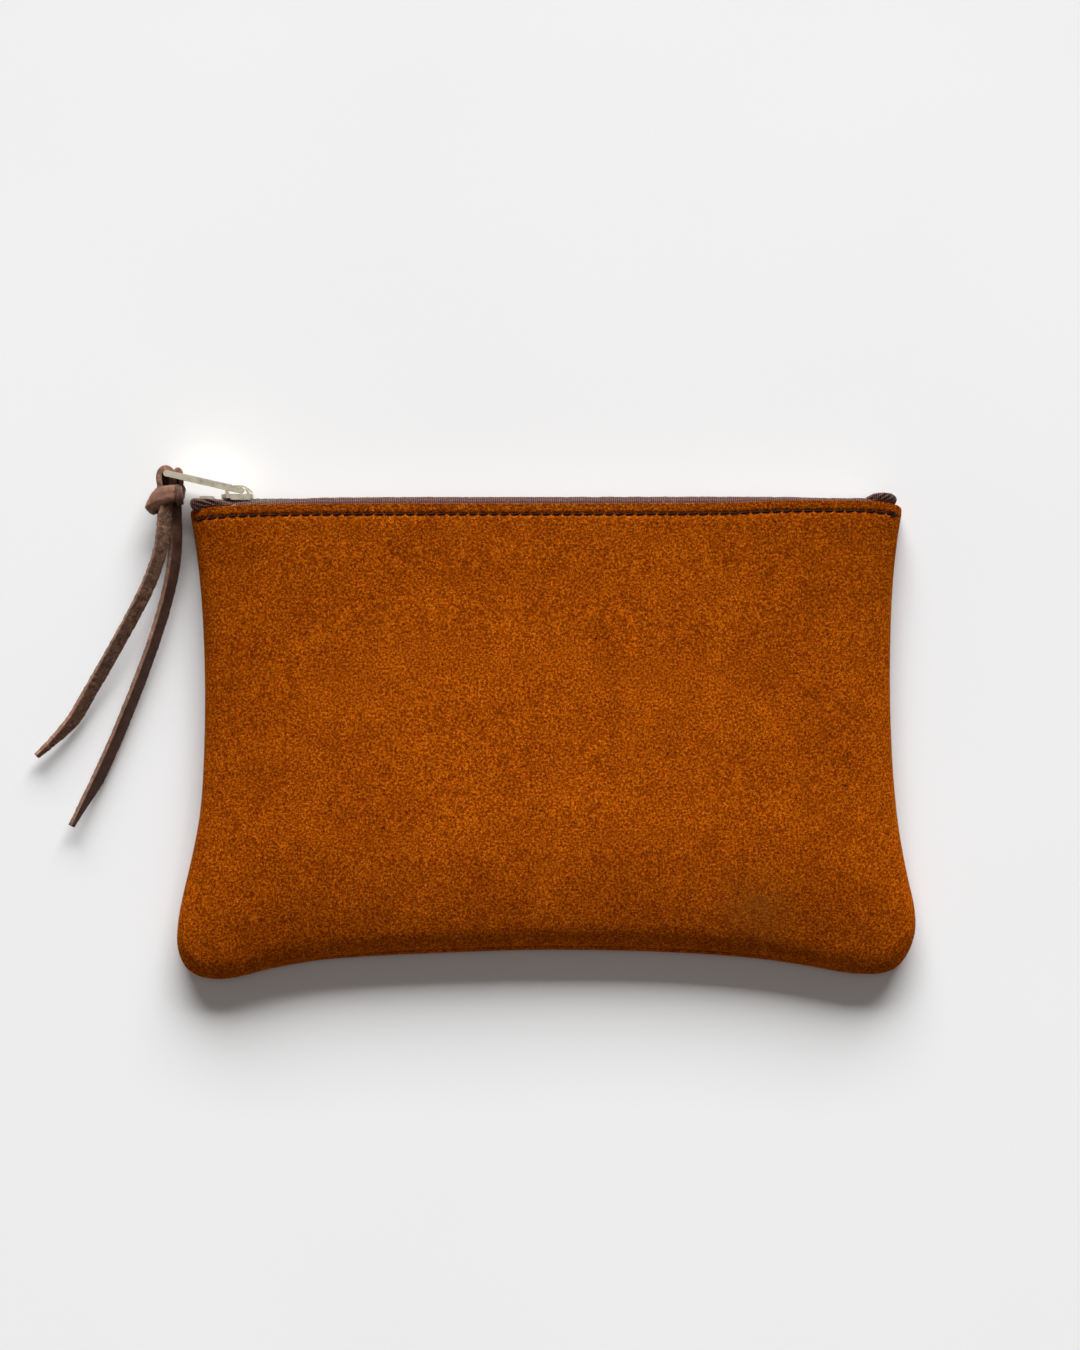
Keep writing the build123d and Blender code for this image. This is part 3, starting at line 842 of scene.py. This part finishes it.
def sweep_strap(line, ups, widths, thick, rough, seed):
    """Points, faces and face kinds of a strap along a line.

    ups give the direction of its top face, and rough how uneven each kind of face is.
    """
    points = []
    count = len(line)
    for i, place in enumerate(line):
        along = line[min(i + 1, count - 1)] - line[max(i - 1, 0)]
        along /= np.linalg.norm(along)
        up = ups[i] - along * np.dot(ups[i], along)
        up /= np.linalg.norm(up)
        across = np.cross(along, up)
        left, right = widths[i]
        section = strap_section(left, right, thick)
        for a, u, kind in section:
            point = place + across * a + up * u
            fuzz = noise.noise(Vector(point) * 0.9 + Vector((seed, 0, 0)))
            fuzz += 0.6 * noise.noise(Vector(point) * 2.6 + Vector((0, seed, 0)))
            way = up * np.sign(u)
            if kind == CUT_SIDE:
                way = way * 0.4 + across * np.sign(a - (left + right) / 2)
            points.append(point + way * (rough[kind] * fuzz))
    sides = len(section)
    faces = grid_faces(count, sides, wrap=True)
    kinds = [kind for _, _, kind in section] * (count - 1)
    faces.append(tuple(range(sides))[::-1])
    faces.append(tuple(range((count - 1) * sides, count * sides)))
    return points, [f[::-1] for f in faces], kinds + [CUT_SIDE, CUT_SIDE]


def build_tail(name, route, tilt, top_face, node, seed):
    """One free tail: a flat lace lying tilted, with a slanted tip."""
    line, length = even_line(route_line(name, route), 0.5)
    ups, widths = [], []
    for i, place in enumerate(line):
        t = i / (len(line) - 1)
        angle = math.radians(tilt[0] + (tilt[1] - tilt[0]) * t + 4 * math.sin(7 * t + seed))
        along = line[min(i + 1, len(line) - 1)] - line[max(i - 1, 0)]
        right = np.cross((0, 0, 1.0), along)  # the viewer's right, as the lace runs downwards
        right /= np.linalg.norm(right)
        ups.append(right * math.sin(angle) + np.array([0, 0, 1.0]) * math.cos(angle))
        cut = min(1.0, length * (1 - t) / TAIL_TAPER)
        kept = LACE_WIDTH * (TIP_SHARE + (1 - TIP_SHARE) * cut)
        widths.append((LACE_WIDTH / 2 - kept, LACE_WIDTH / 2))
    if top_face == "grain":
        leather = [LACE_GRAIN, LACE_FLESH, LACE_EDGE]
        rough = (0.02, 0.16, 0.14)
    else:
        leather = [LACE_FLESH, LACE_GRAIN, LACE_EDGE]
        rough = (0.16, 0.02, 0.14)
    points, faces, kinds = sweep_strap(line, ups, widths, LACE_THICK, rough, seed)
    piece = make_piece(name, points, faces, leather, "lace", kinds)
    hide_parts(node)
    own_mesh(piece)


build_tail("lace_tail_left_strap", LEFT_TAIL, (30, 36), "flesh", "lace_tail_left", 1.7)
build_tail("lace_tail_right_strap", RIGHT_TAIL, (46, 52), "grain", "lace_tail_right", 5.2)

# The two folds of the lace over the tab's end bar, seen from above
LEFT_LOBE = [
    (-110.6, 69.0), (-111.0, 71.5), (-111.2, 73.8), (-110.6, 75.4), (-109.3, 76.1), (-108.0, 75.4),
    (-107.5, 73.8), (-107.5, 71.5), (-107.6, 69.0),
]
RIGHT_LOBE = [
    (-106.6, 69.0), (-106.7, 71.5), (-106.8, 73.8), (-106.4, 75.2), (-105.7, 75.7), (-105.2, 75.0),
    (-105.0, 73.6), (-104.9, 71.5), (-105.0, 69.0),
]


def build_loop():
    """The lace's two folds through the tab's eye and over its end bar."""
    shapes, marks = [], []
    count = 56
    for lobe, thick, half, seed in ((LEFT_LOBE, 1.7, 1.9, 2.2), (RIGHT_LOBE, 1.25, 1.8, 6.1)):
        line = np.column_stack([smooth_line(lobe, count), np.full(count, CHAIN_Z)])
        ups = []
        for i in range(count):
            along = line[min(i + 1, count - 1)] - line[max(i - 1, 0)]
            up = np.cross((0, 0, 1.0), along)
            ups.append(up / np.linalg.norm(up))
        widths = [(-half, half)] * count
        points, faces, kinds = sweep_strap(line, ups, widths, thick, (0.05, 0.04, 0.12), seed)
        shapes.append((points, faces))
        marks += kinds
    # the flat passes under the bar
    count = 24
    ups = [np.array([0, 0, 1.0])] * count
    for x, half, top in ((-109.4, 1.9, 75.6), (-105.8, 1.0, 75.0)):
        line = smooth_line([(x - 0.3, 69.2, 4.9), (x, 72.0, 4.8), (x + 0.2, top, 4.9)], count)
        widths = [(-half, half)] * count
        points, faces, kinds = sweep_strap(line, ups, widths, 1.1, (0.05, 0.04, 0.08), x)
        shapes.append((points, faces))
        marks += [UNDER_FACE] * len(kinds)
    points, faces = join_shapes(shapes)
    piece = make_piece("lace_loop_strap", points, faces, [LACE_KNOT, LACE_GRAIN, LACE_EDGE], "lace", marks)
    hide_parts("lace_loop")


def knot_cuff():
    """The lace's turn round itself: a bulging band, lower at the left, open where the tails come out."""
    turns, across = 96, 22
    profile = np.linspace(0, 1, across)
    # along the band's width from the top: middle x and y, half width in x and in z
    middle_x = np.interp(profile, [0, 0.35, 0.7, 1], [-107.9, -108.8, -109.7, -108.9])
    middle_y = np.interp(profile, [0, 0.35, 0.7, 1], [71.2, 69.3, 66.5, 64.4])
    half_x = np.interp(profile, [0, 0.08, 0.35, 0.7, 0.9, 1], [3.6, 4.1, 5.0, 5.75, 5.0, 4.1])
    half_z = np.interp(profile, [0, 0.08, 0.35, 0.7, 0.9, 1], [2.5, 2.9, 3.3, 3.5, 3.2, 2.6])
    points = []
    for inner in (False, True):
        order = range(across - 1, -1, -1) if inner else range(across)
        shrink = CUFF_THICK if inner else 0.0
        for k in order:
            low = profile[k] ** 1.5
            for i in range(turns):
                angle = 2 * math.pi * i / turns
                c, s = math.cos(angle), math.sin(angle)
                off_x = (half_x[k] - shrink) * abs(c) ** CUFF_SQUARENESS * (1 if c > 0 else -1)
                off_z = (half_z[k] - shrink) * abs(s) ** CUFF_SQUARENESS * (1 if s > 0 else -1)
                x, z = middle_x[k] + off_x, CHAIN_Z + off_z
                y = middle_y[k] + low * (0.32 * off_x + 1.5 * max(0.0, s)) + 0.10 * (x - KNOT_X)
                grow = 1.0
                if not inner:
                    wrinkle = 0.20 * noise.noise(Vector((x * 0.4, y * 0.5, z * 0.4)))
                    wrinkle += 0.06 * noise.noise(Vector((x * 1.3, y * 1.6, z)))
                    grow += wrinkle / 4
                points.append((middle_x[k] + off_x * grow, y, CHAIN_Z + off_z * grow))
    faces = grid_faces(2 * across, turns, wrap=True)
    last = (2 * across - 1) * turns
    faces += [(last + i, last + (i + 1) % turns, (i + 1) % turns, i) for i in range(turns)]
    rows = [TOP_FACE] * (across - 1) + [CUT_SIDE] + [UNDER_FACE] * (across - 1) + [CUT_SIDE]
    return points, [f[::-1] for f in faces], [kind for kind in rows for _ in range(turns)]


def build_knot():
    """The knot: a band round both tails, with the lace's other pass crossing its right side."""
    cuff_points, cuff_faces, marks = knot_cuff()
    count = 24
    route = [(-105.6, 71.0, 8.6), (-105.5, 69.6, 9.6), (-105.2, 67.6, 9.7), (-105.0, 65.6, 8.9)]
    line = smooth_line(route, count)
    ups = [np.array([0.35, 0.1, 1.0])] * count
    widths = [(-0.95, 0.95)] * count
    points, faces, kinds = sweep_strap(line, ups, widths, 1.1, (0.05, 0.05, 0.06), 4.4)
    # the pass shows the lace's unworn grain, its fourth material
    marks += [3 if kind == TOP_FACE else kind for kind in kinds]
    points, faces = join_shapes([(cuff_points, cuff_faces), (points, faces)])
    leather = [LACE_KNOT, LACE_FLESH, LACE_EDGE, LACE_GRAIN]
    piece = make_piece("lace_knot_wraps", points, faces, leather, "lace", marks)
    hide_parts("lace_knot")
    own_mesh(piece)


build_loop()
build_knot()

# ---------------------------------------------------------------- floor, light and camera, in metres

TABLE_HALF = 4.0
WALL_FADE = (0.05, 0.30)  # sines of the angles between which the walls give way to the ceiling
WALL_GLOW = 0.72
CEILING_GLOW = 0.115
FIELD = 0.3875  # height of the camera's field at the pouch
CAMERA_DISTANCE = 1.6
CAMERA_X = -0.0017
CAMERA_Y = 0.0166
FACE_Z = 0.010  # height of the pouch's upper face


def build_floor():
    """A plain pale table."""
    n = Nodes("pale_table", (0.86, 0.86, 0.865), 0.75)
    n.set("Specular IOR Level", 0.0)
    n.color(n.ramp(n.noise(6, 2.0), [(0.3, (0.85, 0.85, 0.855)), (0.7, (0.87, 0.87, 0.872))]))
    mesh = bpy.data.meshes.new("table")
    half = TABLE_HALF
    corners = [(-half, -half, 0), (half, -half, 0), (half, half, 0), (-half, half, 0)]
    mesh.from_pydata(corners, [], [(0, 1, 2, 3)])
    mesh.materials.append(n.material)
    table = bpy.data.objects.new("table", mesh)
    bpy.context.scene.collection.objects.link(table)


def area_light(name, place, aim, size, power, color=(1, 1, 1)):
    """A rectangular light at a place, turned towards its aim."""
    light = bpy.data.lights.new(name, "AREA")
    light.shape = "RECTANGLE"
    light.size, light.size_y = size
    light.energy = power
    light.color = color
    holder = bpy.data.objects.new(name, light)
    holder.location = place
    holder.rotation_mode = "QUATERNION"
    holder.rotation_quaternion = (Vector(aim) - Vector(place)).to_track_quat("-Z", "Y")
    bpy.context.scene.collection.objects.link(holder)


def build_world():
    """Weak warm light from above and pale studio walls near the horizon."""
    world = bpy.data.worlds.new("studio")
    world.use_nodes = True
    nodes, links = world.node_tree.nodes, world.node_tree.links
    background = nodes["Background"]
    background.inputs["Color"].default_value = (1.0, 0.90, 0.84, 1)
    direction = nodes.new("ShaderNodeSeparateXYZ")
    fade = nodes.new("ShaderNodeMapRange")
    fade.inputs["From Min"].default_value = WALL_FADE[0]
    fade.inputs["From Max"].default_value = WALL_FADE[1]
    fade.inputs["To Min"].default_value = WALL_GLOW
    fade.inputs["To Max"].default_value = CEILING_GLOW
    links.new(nodes.new("ShaderNodeTexCoord").outputs["Generated"], direction.inputs["Vector"])
    links.new(direction.outputs["Z"], fade.inputs["Value"])
    links.new(fade.outputs["Result"], background.inputs["Strength"])
    bpy.context.scene.world = world


def build_camera():
    """Straight above the pouch, with the whole photograph's field in view."""
    camera = bpy.data.cameras.new("camera")
    camera.sensor_width = 36.0
    camera.lens = camera.sensor_width * CAMERA_DISTANCE / FIELD
    holder = bpy.data.objects.new("camera", camera)
    holder.location = (CAMERA_X, CAMERA_Y, CAMERA_DISTANCE + FACE_Z)
    bpy.context.scene.collection.objects.link(holder)
    bpy.context.scene.camera = holder


build_floor()
area_light("window", (0.96, 14.8, 6.6), (0, 0, 0), (16.0, 7.2), 6350.0, (0.985, 0.995, 1.0))
area_light("overhead", (0, 0.2, 3.2), (0, 0.05, 0), (1.4, 1.4), 4.9)
build_world()
bpy.context.scene.view_settings.view_transform = "Standard"
build_camera()
